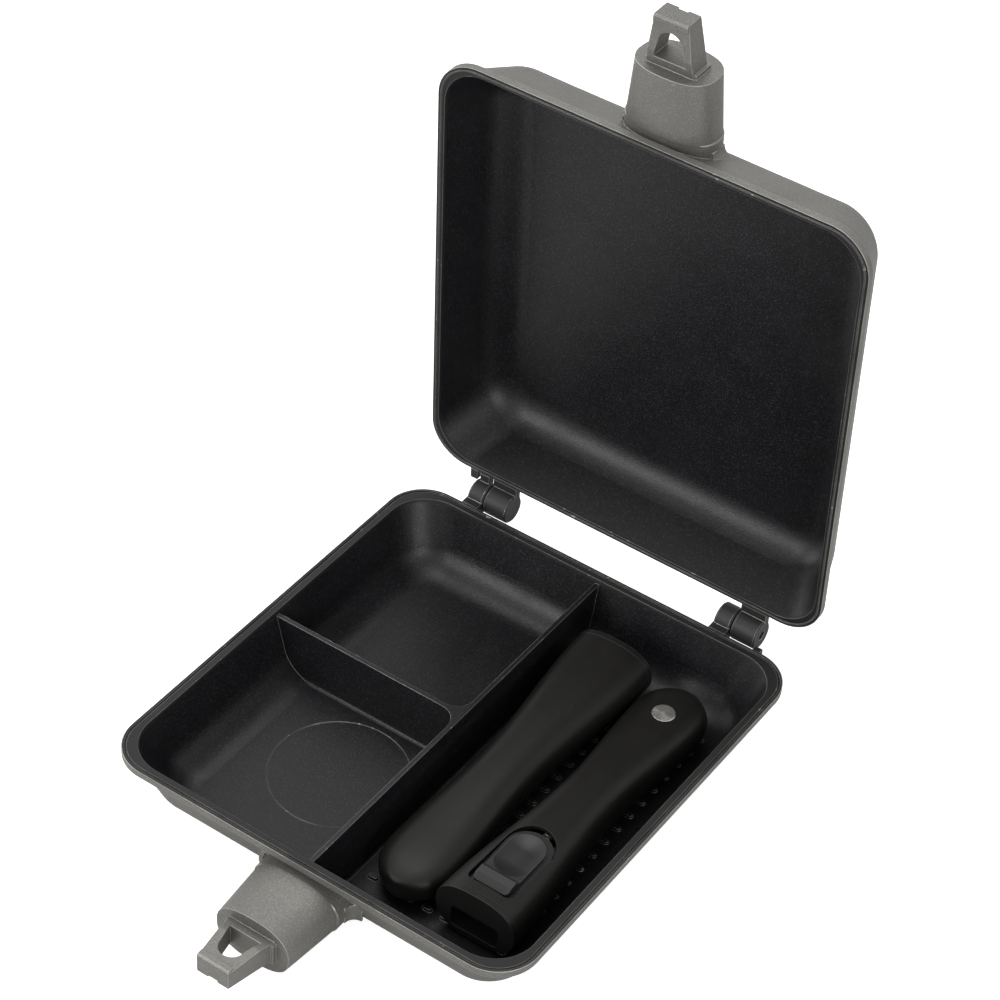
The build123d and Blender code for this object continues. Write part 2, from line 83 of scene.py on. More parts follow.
class Graph:
    """Short calls that add and wire shader nodes in one tree."""

    def __init__(self, tree: bpy.types.NodeTree) -> None:
        """Keeps the tree.

        Args:
            tree: The material's or the group's node tree.
        """
        self.tree = tree

    def add(self, kind: str, **settings: object) -> bpy.types.Node:
        """Adds a node and sets its properties.

        Args:
            kind: The node's type name.
            settings: Properties of the node.

        Returns:
            The new node.
        """
        node = self.tree.nodes.new(kind)
        for name, value in settings.items():
            setattr(node, name, value)
        return node

    def feed(self, socket: Socket, value: Value) -> None:
        """Links a socket to a socket, or sets its own value.

        Args:
            socket: The input to feed.
            value: A socket, a number or several numbers.
        """
        if isinstance(value, bpy.types.NodeSocket):
            self.tree.links.new(value, socket)
        else:
            socket.default_value = value

    def math(self, operation: str, *values: Value, clamp: bool = False) -> Socket:
        """Adds a Math node.

        Args:
            operation: The node's operation.
            values: One to three inputs.
            clamp: Keeps the result between 0 and 1.

        Returns:
            The result's socket.
        """
        node = self.add("ShaderNodeMath", operation=operation, use_clamp=clamp)
        for socket, value in zip(node.inputs, values):
            self.feed(socket, value)
        return node.outputs[0]

    def vector(self, operation: str, *values: Value, output: str = "Vector") -> Socket:
        """Adds a Vector Math node.

        Args:
            operation: The node's operation.
            values: Its inputs in order.
            output: The name of the output to give back.

        Returns:
            That output.
        """
        node = self.add("ShaderNodeVectorMath", operation=operation)
        for socket, value in zip(node.inputs, values):
            self.feed(socket, value)
        return node.outputs[output]

    def remap(self, value: Value, low: float, high: float, to_low: float = 0.0,
              to_high: float = 1.0) -> Socket:
        """Adds a smooth, clamped Map Range node.

        Args:
            value: The input.
            low: Input that gives to_low.
            high: Input that gives to_high.
            to_low: Result at low.
            to_high: Result at high.

        Returns:
            The result's socket.
        """
        node = self.add("ShaderNodeMapRange", interpolation_type="SMOOTHSTEP")
        for name, number in (("Value", value), ("From Min", low), ("From Max", high),
                             ("To Min", to_low), ("To Max", to_high)):
            self.feed(node.inputs[name], number)
        return node.outputs["Result"]

    def blend(self, factor: Value, first: Value, second: Value) -> Socket:
        """Mixes two colours.

        Args:
            factor: 0 gives the first and 1 the second.
            first: Colour at 0.
            second: Colour at 1.

        Returns:
            The mixed colour.
        """
        node = self.add("ShaderNodeMix", data_type="RGBA")
        self.feed(node.inputs[0], factor)
        self.feed(node.inputs[6], first)
        self.feed(node.inputs[7], second)
        return node.outputs[2]

    def mix(self, factor: Value, first: Value, second: Value) -> Socket:
        """Mixes two numbers.

        Args:
            factor: 0 gives the first and 1 the second.
            first: Number at 0.
            second: Number at 1.

        Returns:
            The mixed number.
        """
        node = self.add("ShaderNodeMix", data_type="FLOAT")
        self.feed(node.inputs[0], factor)
        self.feed(node.inputs[2], first)
        self.feed(node.inputs[3], second)
        return node.outputs[0]

    def noise(self, vector: Value, scale: Value, detail: float = 2.0,
              roughness: float = 0.5) -> Socket:
        """Adds a Noise Texture.

        Args:
            vector: Where it is read.
            scale: Cells per metre.
            detail: Octaves.
            roughness: Strength of the finer octaves.

        Returns:
            Its number from 0 to 1.
        """
        node = self.add("ShaderNodeTexNoise")
        self.feed(node.inputs["Vector"], vector)
        self.feed(node.inputs["Scale"], scale)
        node.inputs["Detail"].default_value = detail
        node.inputs["Roughness"].default_value = roughness
        return node.outputs[0]

    def place(self, group: bpy.types.NodeTree, **values: Value) -> bpy.types.Node:
        """Places a node group.

        Args:
            group: The group's tree.
            values: Its inputs, with _ for a blank in a name.

        Returns:
            The group's node.
        """
        node = self.add("ShaderNodeGroup", node_tree=group)
        for name, value in values.items():
            self.feed(node.inputs[name.replace("_", " ")], value)
        return node


def opaque(colour: Colour) -> tuple[float, float, float, float]:
    """The colour with an alpha of 1."""
    return (*colour, 1.0)


@dataclass(frozen=True)
class GroupSpec:
    """Name and sockets of a shared shader effect."""

    name: str
    inputs: tuple[tuple[str, str, float], ...]
    outputs: tuple[tuple[str, str], ...]

    def start(self) -> tuple[Graph, bpy.types.Node, bpy.types.Node]:
        """Makes the empty group.

        Returns:
            Its graph, its input node and its output node.
        """
        tree = bpy.data.node_groups.new(self.name, "ShaderNodeTree")
        for name, kind, default in self.inputs:
            socket = tree.interface.new_socket(name, in_out="INPUT", socket_type=kind)
            if kind == "NodeSocketFloat":
                socket.default_value = default
        for name, kind in self.outputs:
            tree.interface.new_socket(name, in_out="OUTPUT", socket_type=kind)
        graph = Graph(tree)
        return graph, graph.add("NodeGroupInput"), graph.add("NodeGroupOutput")


FLOAT = "NodeSocketFloat"
VECTOR = "NodeSocketVector"


@dataclass(frozen=True)
class PanOutline:
    """Sizes that both castings share, in metres from the middle of the rim plane."""

    half_x: float = 0.1075
    half_y: float = 0.1145
    corner: float = 0.021
    wall_degrees: float = 18.0
    foot_fillet: float = 0.019
    land_depth: float = 0.0013
    land_inset: float = 0.00008
    knuckle_y: float = 0.1155
    stud_rise: Span = (0.0007, 0.0030)
    stud_x: Span = (0.010, 0.084)
    stud_y: Span = (-0.094, 0.094)


class BowlZone:
    """Masks that tell the coated inside, the rim, the knuckles and the studs of a casting."""

    def __init__(self, outline: PanOutline) -> None:
        """Starts the group.

        Args:
            outline: The castings' sizes.
        """
        self.outline = outline
        spec = GroupSpec("bowl_zone",
                         (("Point", VECTOR, 0.0), ("Inset", FLOAT, 0.00387),
                          ("Floor", FLOAT, 0.0329)),
                         (("Inside", FLOAT), ("Rim", FLOAT), ("Knuckle", FLOAT),
                          ("Stud", FLOAT)))
        self.graph, self.inlet, self.outlet = spec.start()
        parts = self.graph.add("ShaderNodeSeparateXYZ")
        self.graph.feed(parts.inputs[0], self.inlet.outputs["Point"])
        self.x, self.y, self.depth = parts.outputs
        wall = math.radians(outline.wall_degrees)
        self.slope, self.slant, self.lean = math.tan(wall), math.cos(wall), math.sin(wall)

    def beyond_outline(self, inset: Value) -> Socket:
        """Distance outside the rounded outline, drawn in by an inset.

        Args:
            inset: How far the outline is drawn in.

        Returns:
            The distance, below 0 inside.
        """
        g, corner = self.graph, self.outline.corner
        squares = []
        for place, half in ((self.x, self.outline.half_x), (self.y, self.outline.half_y)):
            reach = g.math("SUBTRACT", half - corner, inset)
            beyond = g.math("SUBTRACT", g.math("ABSOLUTE", place), reach)
            squares.append(g.math("POWER", g.math("MAXIMUM", beyond, 0.0), 2.0))
        return g.math("SUBTRACT", g.math("SQRT", g.math("ADD", *squares)), corner)

    def beyond_foot(self, to_wall: Socket, to_floor: Socket) -> Socket:
        """Tells the metal outside the round foot between the wall and the floor.

        Args:
            to_wall: Distance in from the wall.
            to_floor: Distance up from the floor.

        Returns:
            1 outside the foot fillet, and 0 elsewhere.
        """
        g, fillet = self.graph, self.outline.foot_fillet
        up = g.math("SUBTRACT", to_floor, fillet)
        out = g.math("SUBTRACT", g.math("SUBTRACT", to_wall, fillet),
                     g.math("MULTIPLY", up, self.lean))
        along = g.math("DIVIDE", out, self.slant)
        squares = [g.math("POWER", g.math("MINIMUM", side, 0.0), 2.0) for side in (along, up)]
        radius = g.math("SQRT", g.math("ADD", *squares))
        climb = g.math("SUBTRACT", g.math("MULTIPLY", up, self.slant),
                       g.math("MULTIPLY", along, self.lean))
        in_sector = g.math("MULTIPLY", g.math("LESS_THAN", along, 0.0),
                           g.math("LESS_THAN", climb, 0.0))
        return g.math("MULTIPLY", in_sector, g.math("GREATER_THAN", radius, fillet))

    def between(self, value: Socket, span: Span) -> Socket:
        """Marks where a value lies in a span.

        Args:
            value: The value.
            span: The lowest and the highest number of the span.

        Returns:
            1 inside the span, and 0 elsewhere.
        """
        g = self.graph
        return g.math("MULTIPLY", g.math("GREATER_THAN", value, span[0]),
                      g.math("LESS_THAN", value, span[1]))

    def build(self) -> bpy.types.NodeTree:
        """Wires the masks.

        The point is in a frame whose origin is the middle of the rim plane and whose Z is the
        depth below it. The border runs in the middle of the wall, round the foot fillet.

        Returns:
            The group's tree.
        """
        g, sizes = self.graph, self.outline
        inset = g.math("MULTIPLY_ADD", self.depth, self.slope, self.inlet.outputs["Inset"])
        to_wall = g.math("MULTIPLY", self.beyond_outline(inset), -self.slant)
        to_floor = g.math("SUBTRACT", self.inlet.outputs["Floor"], self.depth)
        within = g.math("MULTIPLY", g.math("GREATER_THAN", to_wall, 0.0),
                        g.math("GREATER_THAN", to_floor, 0.0))
        bowl = g.math("MULTIPLY", within,
                      g.math("SUBTRACT", 1.0, self.beyond_foot(to_wall, to_floor)))
        rim = g.math("MULTIPLY", g.math("LESS_THAN", self.depth, sizes.land_depth),
                     g.math("LESS_THAN", self.beyond_outline(0.0), -sizes.land_inset))
        studs = self.between(to_floor, sizes.stud_rise)
        for place, span in ((self.x, sizes.stud_x), (self.y, sizes.stud_y)):
            studs = g.math("MULTIPLY", studs, self.between(place, span))
        g.feed(self.outlet.inputs["Inside"], g.math("MAXIMUM", bowl, rim))
        g.feed(self.outlet.inputs["Rim"], rim)
        g.feed(self.outlet.inputs["Knuckle"], g.math("GREATER_THAN", self.y, sizes.knuckle_y))
        g.feed(self.outlet.inputs["Stud"], studs)
        return g.tree


@dataclass(frozen=True)
class GrainSizes:
    """Cells per metre of each pattern, and the span of its noise that shows."""

    bevel_samples: int = 6
    sparkle: Span = (0.50, 0.76)
    mottle_cells: float = 38.0
    chip_cells: float = 210.0
    sand_cells: float = 700.0
    sand_share: float = 0.55
    fleck_hue: Span = (0.66, 0.92)
    fleck_edge: Span = (0.55, 0.25)
    cloud_cells: float = 30.0
    peel_cells: float = 2300.0
    smudge: Span = (0.42, 0.68)
    rub: Span = (0.62, 0.78)
    rub_cells: float = 900.0
    rub_stretch: Triple = (1.0, 0.08, 1.0)
    tone_cells: float = 45.0


class Effects:
    """Shared shader effects, each built once."""

    def __init__(self, sizes: GrainSizes = GrainSizes()) -> None:
        """Builds all the groups.

        Args:
            sizes: The patterns' sizes.
        """
        self.sizes = sizes
        self.bowl_zone = BowlZone(PanOutline()).build()
        self.edge_line = self.build_edge_line()
        self.cast_grain = self.build_cast_grain()
        self.coat_speckle = self.build_coat_speckle()
        self.handling = self.build_handling()
        self.spark_skin = self.build_spark_skin()

    def build_edge_line(self) -> bpy.types.NodeTree:
        """Finds the edges of a piece and rounds their normals.

        Returns:
            The group's tree.
        """
        spec = GroupSpec("edge_line", (("Radius", FLOAT, 0.0004), ("Gain", FLOAT, 5.0)),
                         (("Mask", FLOAT), ("Normal", VECTOR)))
        g, inlet, outlet = spec.start()
        bevel = g.add("ShaderNodeBevel", samples=self.sizes.bevel_samples)
        g.feed(bevel.inputs["Radius"], inlet.outputs["Radius"])
        geometry = g.add("ShaderNodeNewGeometry")
        same = g.vector("DOT_PRODUCT", bevel.outputs[0], geometry.outputs["Normal"],
                        output="Value")
        turned = g.math("SUBTRACT", 1.0, same)
        g.feed(outlet.inputs["Mask"],
               g.math("MULTIPLY", turned, inlet.outputs["Gain"], clamp=True))
        g.feed(outlet.inputs["Normal"], bevel.outputs[0])
        return g.tree

    def build_cast_grain(self) -> bpy.types.NodeTree:
        """Fine sparkle, slow mottle and rare chips of the painted casting.

        Returns:
            The group's tree.
        """
        spec = GroupSpec("cast_grain", (("Point", VECTOR, 0.0), ("Scale", FLOAT, 2300.0)),
                         (("Sparkle", FLOAT), ("Mottle", FLOAT), ("Chip", FLOAT),
                          ("Height", FLOAT)))
        g, inlet, outlet = spec.start()
        point, sizes = inlet.outputs["Point"], self.sizes
        fine = g.noise(point, inlet.outputs["Scale"], detail=3.0, roughness=0.6)
        g.feed(outlet.inputs["Sparkle"], g.remap(fine, *sizes.sparkle))
        g.feed(outlet.inputs["Mottle"], g.noise(point, sizes.mottle_cells, detail=3.0))
        g.feed(outlet.inputs["Chip"], g.noise(point, sizes.chip_cells, detail=3.0))
        sand = g.noise(point, sizes.sand_cells, detail=2.0)
        g.feed(outlet.inputs["Height"], g.mix(sizes.sand_share, fine, sand))
        return g.tree

    def build_coat_speckle(self) -> bpy.types.NodeTree:
        """Bluish flecks and orange peel of the non-stick coat.

        Returns:
            The group's tree.
        """
        spec = GroupSpec("coat_speckle", (("Point", VECTOR, 0.0), ("Scale", FLOAT, 1900.0)),
                         (("Fleck", FLOAT), ("Cloud", FLOAT), ("Height", FLOAT)))
        g, inlet, outlet = spec.start()
        point, sizes = inlet.outputs["Point"], self.sizes
        cells = g.add("ShaderNodeTexVoronoi", feature="F1")
        g.feed(cells.inputs["Vector"], point)
        g.feed(cells.inputs["Scale"], inlet.outputs["Scale"])
        hue = g.add("ShaderNodeSeparateColor")
        g.feed(hue.inputs[0], cells.outputs["Color"])
        chosen = g.remap(hue.outputs[0], *sizes.fleck_hue)
        g.feed(outlet.inputs["Fleck"],
               g.math("MULTIPLY", chosen, g.remap(cells.outputs["Distance"], *sizes.fleck_edge)))
        g.feed(outlet.inputs["Cloud"], g.noise(point, sizes.cloud_cells, detail=3.0))
        g.feed(outlet.inputs["Height"],
               g.noise(point, sizes.peel_cells, detail=1.0, roughness=0.6))
        return g.tree

    def build_handling(self) -> bpy.types.NodeTree:
        """Smudges and faint rubs left by use.

        Returns:
            The group's tree.
        """
        spec = GroupSpec("handling", (("Point", VECTOR, 0.0), ("Scale", FLOAT, 60.0)),
                         (("Smudge", FLOAT), ("Rub", FLOAT)))
        g, inlet, outlet = spec.start()
        point, sizes = inlet.outputs["Point"], self.sizes
        g.feed(outlet.inputs["Smudge"],
               g.remap(g.noise(point, inlet.outputs["Scale"], detail=4.0), *sizes.smudge))
        stretch = g.vector("MULTIPLY", point, sizes.rub_stretch)
        g.feed(outlet.inputs["Rub"],
               g.remap(g.noise(stretch, sizes.rub_cells, detail=2.0), *sizes.rub))
        return g.tree

    def build_spark_skin(self) -> bpy.types.NodeTree:
        """Spark-eroded grain of moulded and soft-touch plastic.

        Returns:
            The group's tree.
        """
        spec = GroupSpec("spark_skin", (("Point", VECTOR, 0.0), ("Scale", FLOAT, 1500.0)),
                         (("Tone", FLOAT), ("Height", FLOAT)))
        g, inlet, outlet = spec.start()
        point = inlet.outputs["Point"]
        g.feed(outlet.inputs["Tone"], g.noise(point, self.sizes.tone_cells, detail=4.0))
        g.feed(outlet.inputs["Height"],
               g.noise(point, inlet.outputs["Scale"], detail=3.0, roughness=0.6))
        return g.tree


def new_material(name: str) -> tuple[Graph, bpy.types.Node, bpy.types.Material, Socket]:
    """Starts a material with a Principled shader.

    Args:
        name: The material's name.

    Returns:
        Its graph, its shader, the material and its Object coordinates.
    """
    material = bpy.data.materials.new(name)
    material.use_nodes = True
    graph = Graph(material.node_tree)
    shader = material.node_tree.nodes["Principled BSDF"]
    point = graph.add("ShaderNodeTexCoord").outputs["Object"]
    return graph, shader, material, point


def set_normal(graph: Graph, shader: bpy.types.Node, height: Value, depth: float,
               normal: Optional[Socket] = None, strength: float = 1.0) -> None:
    """Gives a shader its bump.

    Args:
        graph: The material's graph.
        shader: The Principled shader.
        height: The bump's height from 0 to 1.
        depth: What a height of 1 stands for, in metres.
        normal: The normal under the bump.
        strength: How much of the bump is used.
    """
    bump = graph.add("ShaderNodeBump")
    graph.feed(bump.inputs["Height"], height)
    bump.inputs["Distance"].default_value = depth
    bump.inputs["Strength"].default_value = strength
    if normal is not None:
        graph.feed(bump.inputs["Normal"], normal)
    graph.feed(shader.inputs["Normal"], bump.outputs[0])


@dataclass(frozen=True)
class CastFinish:
    """Gunmetal paint outside and black non-stick coat inside one casting."""

    name: str
    half: Half
    rim_inset: float
    floor_depth: float
    rim_height: float
    paint: Colour = (0.205, 0.196, 0.176)
    paint_dark: Colour = (0.138, 0.139, 0.137)
    sparkle: Colour = (0.42, 0.41, 0.38)
    coat: Colour = (0.0042, 0.0042, 0.0048)
    coat_light: Colour = (0.0080, 0.0081, 0.0094)
    fleck: Colour = (0.070, 0.074, 0.086)
    knuckle: Colour = (0.022, 0.022, 0.023)
    # Pale colour painted on the stud edges as a highlight.
    painted_stud_highlight: Colour = (0.20, 0.20, 0.21)
    rim: Colour = (0.0085, 0.0084, 0.0083)
    # Pale edge colour: worn bare metal, and also a painted highlight along the edge lines.
    wear_and_highlight: Colour = (0.50, 0.49, 0.46)
    paint_roughness: float = 0.46
    coat_roughness: float = 0.33
    rim_roughness: float = 0.55
    smudge_roughness: float = 0.06
    paint_metal: float = 0.62
    specular: float = 0.34
    edge_radius: float = 0.0005
    edge_gain: float = 7.0
    sparkle_cells: float = 2300.0
    fleck_cells: float = 1900.0
    smudge_cells: float = 55.0
    sparkle_amount: float = 0.75
    fleck_amount: float = 0.55
    chip_span: Span = (0.66, 0.70)
    chip_least_edge: float = 0.12
    wear_and_highlight_span: Span = (0.30, 0.55)
    wear_and_highlight_least: float = 0.45
    wear_and_highlight_outside: float = 0.85
    wear_and_highlight_inside: float = 0.42
    peel_share: float = 0.55
    bump_depth: float = 0.00022
    bump_strength: float = 0.8

    def rim_point(self, graph: Graph, point: Socket) -> Socket:
        """Turns Object coordinates into the pan's own rim frame, with Z as depth.

        Args:
            graph: The material's graph.
            point: Object coordinates.

        Returns:
            The point in the rim frame.
        """
        mapping = graph.add("ShaderNodeMapping", vector_type="POINT")
        graph.feed(mapping.inputs["Vector"], point)
        if self.half is Half.LOWER:
            mapping.inputs["Location"].default_value = (0.0, 0.0, self.rim_height)
            mapping.inputs["Scale"].default_value = (1.0, 1.0, -1.0)
            return mapping.outputs[0]
        turn = Matrix.Rotation(math.radians(OPEN_DEGREES), 3, "X")
        hinge = Vector((0.0, HINGE_Y, HINGE_Z))
        mapping.inputs["Rotation"].default_value = (math.radians(OPEN_DEGREES), 0.0, 0.0)
        mapping.inputs["Location"].default_value = (
            hinge - turn @ hinge - Vector((0.0, 0.0, self.rim_height)))
        return mapping.outputs[0]

    def material(self, effects: Effects) -> bpy.types.Material:
        """Builds the casting's material.

        Args:
            effects: The shared effects.

        Returns:
            The material.
        """
        g, shader, material, point = new_material(self.name)
        zone = g.place(effects.bowl_zone, Point=self.rim_point(g, point), Inset=self.rim_inset,
                       Floor=self.floor_depth).outputs
        edge = g.place(effects.edge_line, Radius=self.edge_radius, Gain=self.edge_gain).outputs
        grain = g.place(effects.cast_grain, Point=point, Scale=self.sparkle_cells).outputs
        speckle = g.place(effects.coat_speckle, Point=point, Scale=self.fleck_cells).outputs
        use = g.place(effects.handling, Point=point, Scale=self.smudge_cells).outputs
        inside, rim, knuckle = zone["Inside"], zone["Rim"], zone["Knuckle"]

        paint = g.blend(grain["Mottle"], opaque(self.paint_dark), opaque(self.paint))
        paint = g.blend(g.math("MULTIPLY", grain["Sparkle"], self.sparkle_amount), paint,
                        opaque(self.sparkle))
        coat = g.blend(speckle["Cloud"], opaque(self.coat), opaque(self.coat_light))
        coat = g.blend(g.math("MULTIPLY", speckle["Fleck"], self.fleck_amount), coat,
                       opaque(self.fleck))
        coat = g.blend(rim, coat, opaque(self.rim))
        # Painted highlight: a pale colour on the edges of the floor studs stands in for their
        # glints.
        coat = g.blend(g.math("MULTIPLY", zone["Stud"], edge["Mask"]), coat, opaque(self.painted_stud_highlight))
        colour = g.blend(inside, paint, coat)
        colour = g.blend(knuckle, colour, opaque(self.knuckle))

        # The edge colour is partly wear and chips, partly a painted highlight along convex and
        # concave edges.
        wear_and_highlight = self.edge_wear_and_highlight(g, edge["Mask"], grain, inside)
        g.feed(shader.inputs["Base Color"], g.blend(wear_and_highlight, colour, opaque(self.wear_and_highlight)))
        metal = g.mix(g.math("MAXIMUM", inside, knuckle), self.paint_metal, 0.0)
        g.feed(shader.inputs["Metallic"], g.math("MAXIMUM", metal, wear_and_highlight))
        rough = g.mix(inside, self.paint_roughness, self.coat_roughness)
        rough = g.mix(rim, rough, self.rim_roughness)
        g.feed(shader.inputs["Roughness"],
               g.math("MULTIPLY_ADD", use["Smudge"], self.smudge_roughness, rough))
        shader.inputs["Specular IOR Level"].default_value = self.specular
        height = g.mix(inside, grain["Height"],
                       g.math("MULTIPLY", speckle["Height"], self.peel_share))
        set_normal(g, shader, height, self.bump_depth, edge["Normal"], self.bump_strength)
        return material

    def edge_wear_and_highlight(self, graph: Graph, mask: Socket, grain: bpy.types.bpy_prop_collection,
             inside: Socket) -> Socket:
        """Pale metal along the edges: partly wear with rare chips, partly a painted highlight
        that marks concave edges as well as convex ones.

        Args:
            graph: The material's graph.
            mask: 1 on an edge.
            grain: The outputs of the cast grain.
            inside: 1 in the coated bowl.

        Returns:
            How much of the pale edge colour shows, wear and painted highlight together.
        """
        uneven = graph.remap(grain["Mottle"], *self.wear_and_highlight_span, self.wear_and_highlight_least, 1.0)
        wear_and_highlight = graph.math("MULTIPLY", graph.math("MULTIPLY", mask, uneven),
                          graph.mix(inside, self.wear_and_highlight_outside, self.wear_and_highlight_inside))
        chip = graph.math("MULTIPLY", graph.math("GREATER_THAN", mask, self.chip_least_edge),
                          graph.remap(grain["Chip"], *self.chip_span))
        return graph.math("MAXIMUM", wear_and_highlight, chip)


@dataclass(frozen=True)
class PlasticFinish:
    """Moulded or soft-touch plastic with rubbed edges and a painted highlight along its edges."""

    name: str
    colour: Colour
    light: Colour
    # Pale colour for the rubs and for the painted edge highlight.
    edge: Colour
    roughness: float
    specular: float
    edge_amount: float = 0.5
    edge_radius: float = 0.0004
    edge_gain: float = 5.0
    grain_cells: float = 1500.0
    grain_depth: float = 0.00004
    smudge_cells: float = 40.0
    smudge_roughness: float = -0.07
    rub_amount: float = 0.12

    def material(self, effects: Effects) -> bpy.types.Material:
        """Builds the plastic's material.

        Args:
            effects: The shared effects.

        Returns:
            The material.
        """
        g, shader, material, point = new_material(self.name)
        skin = g.place(effects.spark_skin, Point=point, Scale=self.grain_cells)
        edge = g.place(effects.edge_line, Radius=self.edge_radius, Gain=self.edge_gain)
        use = g.place(effects.handling, Point=point, Scale=self.smudge_cells)
        tone = g.blend(skin.outputs["Tone"], opaque(self.colour), opaque(self.light))
        tone = g.blend(g.math("MULTIPLY", use.outputs["Rub"], self.rub_amount), tone,
                       opaque(self.edge))
        # Painted highlight: the edge mask lays the pale edge colour on as bright lip lines.
        wear_and_highlight = g.math("MULTIPLY", edge.outputs["Mask"], self.edge_amount)
        g.feed(shader.inputs["Base Color"], g.blend(wear_and_highlight, tone, opaque(self.edge)))
        g.feed(shader.inputs["Roughness"],
               g.math("MULTIPLY_ADD", use.outputs["Smudge"], self.smudge_roughness,
                      self.roughness))
        shader.inputs["Specular IOR Level"].default_value = self.specular
        set_normal(g, shader, skin.outputs["Height"], self.grain_depth, edge.outputs["Normal"])
        return material


@dataclass(frozen=True)
class MetalFinish:
    """Bare turned, drawn or plated metal."""

    name: str
    colour: Colour
    dark: Colour
    roughness: float
    streak: Triple = (1.0, 1.0, 1.0)
    line_cells: float = 900.0
    line_span: Span = (0.35, 0.65)
    line_depth: float = 0.00002
    edge_radius: float = 0.0003
    edge_gain: float = 5.0
    smudge_cells: float = 120.0
    smudge_dark: float = 0.3
    smudge_roughness: float = 0.12

    def material(self, effects: Effects) -> bpy.types.Material:
        """Builds the metal's material.

        Args:
            effects: The shared effects.

        Returns:
            The material.
        """
        g, shader, material, point = new_material(self.name)
        lines = g.noise(g.vector("MULTIPLY", point, self.streak), self.line_cells, detail=3.0)
        edge = g.place(effects.edge_line, Radius=self.edge_radius, Gain=self.edge_gain)
        smudge = g.place(effects.handling, Point=point, Scale=self.smudge_cells).outputs["Smudge"]
        tone = g.blend(g.remap(lines, *self.line_span), opaque(self.dark), opaque(self.colour))
        tone = g.blend(g.math("MULTIPLY", smudge, self.smudge_dark), tone, opaque(self.dark))
        g.feed(shader.inputs["Base Color"], tone)
        g.feed(shader.inputs["Roughness"],
               g.math("MULTIPLY_ADD", smudge, self.smudge_roughness, self.roughness))
        shader.inputs["Metallic"].default_value = 1.0
        set_normal(g, shader, lines, self.line_depth, edge.outputs["Normal"])
        return material


@dataclass
class PanHalf:
    """One pan casting: gunmetal outside, non-stick inside, pale edges that are partly worn bare
    metal and partly painted highlight.
    """

    half: Half
    rim_inset: float
    floor_depth: float
    rim_height: float

    def dress(self, effects: Effects) -> None:
        """Gives the casting its finish.

        Args:
            effects: The shared effects.
        """
        finish = CastFinish(f"{self.half.value}_casting", self.half, self.rim_inset,
                            self.floor_depth, self.rim_height)
        put_on(self.half.value, finish.material(effects))


TURNED_ACROSS = (8.0, 0.4, 0.4)


@dataclass
class HingePins:
    """The two turned pins between the knuckles."""

    names: tuple[str, ...] = ("hinge_pin_left", "hinge_pin_right")

    def dress(self, effects: Effects) -> None:
        """Gives both pins turned steel.

        Args:
            effects: The shared effects.
        """
        steel = MetalFinish("turned_steel", colour=(0.62, 0.61, 0.59), dark=(0.34, 0.33, 0.32),
                            roughness=0.28, streak=TURNED_ACROSS).material(effects)
        for name in self.names:
            put_on(name, steel)


@dataclass(frozen=True)
class HandleFinishes:
    """The materials that both handles share."""

    grip: bpy.types.Material
    collar: bpy.types.Material
    button: bpy.types.Material
    latch: bpy.types.Material
    pin: bpy.types.Material
    spring: bpy.types.Material
    magnet: bpy.types.Material

    @classmethod
    def build(cls, effects: Effects) -> "HandleFinishes":
        """Builds the handles' materials.

        Args:
            effects: The shared effects.

        Returns:
            All seven materials.
        """
        finishes = {
            "grip": PlasticFinish("soft_touch_grip", colour=(0.0062, 0.0058, 0.0052),
                                  light=(0.0100, 0.0095, 0.0086), edge=(0.060, 0.058, 0.055),
                                  roughness=0.44, specular=0.24),
            "collar": PlasticFinish("matt_collar", colour=(0.0070, 0.0068, 0.0064),
                                    light=(0.0105, 0.0102, 0.0098), edge=(0.10, 0.098, 0.095),
                                    roughness=0.40, specular=0.24, edge_amount=0.45),
            "button": PlasticFinish("satin_button", colour=(0.016, 0.016, 0.0165),
                                    light=(0.022, 0.022, 0.0225), edge=(0.15, 0.148, 0.145),
                                    roughness=0.38, specular=0.28, edge_amount=0.7),
            "latch": PlasticFinish("moulded_latch", colour=(0.012, 0.012, 0.013),
                                   light=(0.020, 0.020, 0.021), edge=(0.06, 0.06, 0.06),
                                   roughness=0.5, specular=0.3),
            "pin": MetalFinish("pawl_pin_steel", colour=(0.60, 0.60, 0.58),
                               dark=(0.38, 0.37, 0.36), roughness=0.3, streak=TURNED_ACROSS),
            "spring": MetalFinish("drawn_wire", colour=(0.62, 0.61, 0.59),
                                  dark=(0.42, 0.41, 0.40), roughness=0.32, line_cells=1600.0),
            "magnet": MetalFinish("plated_disc", colour=(0.78, 0.75, 0.70),
                                  dark=(0.60, 0.57, 0.53), roughness=0.30, line_cells=700.0),
        }
        return cls(**{part: finish.material(effects) for part, finish in finishes.items()})


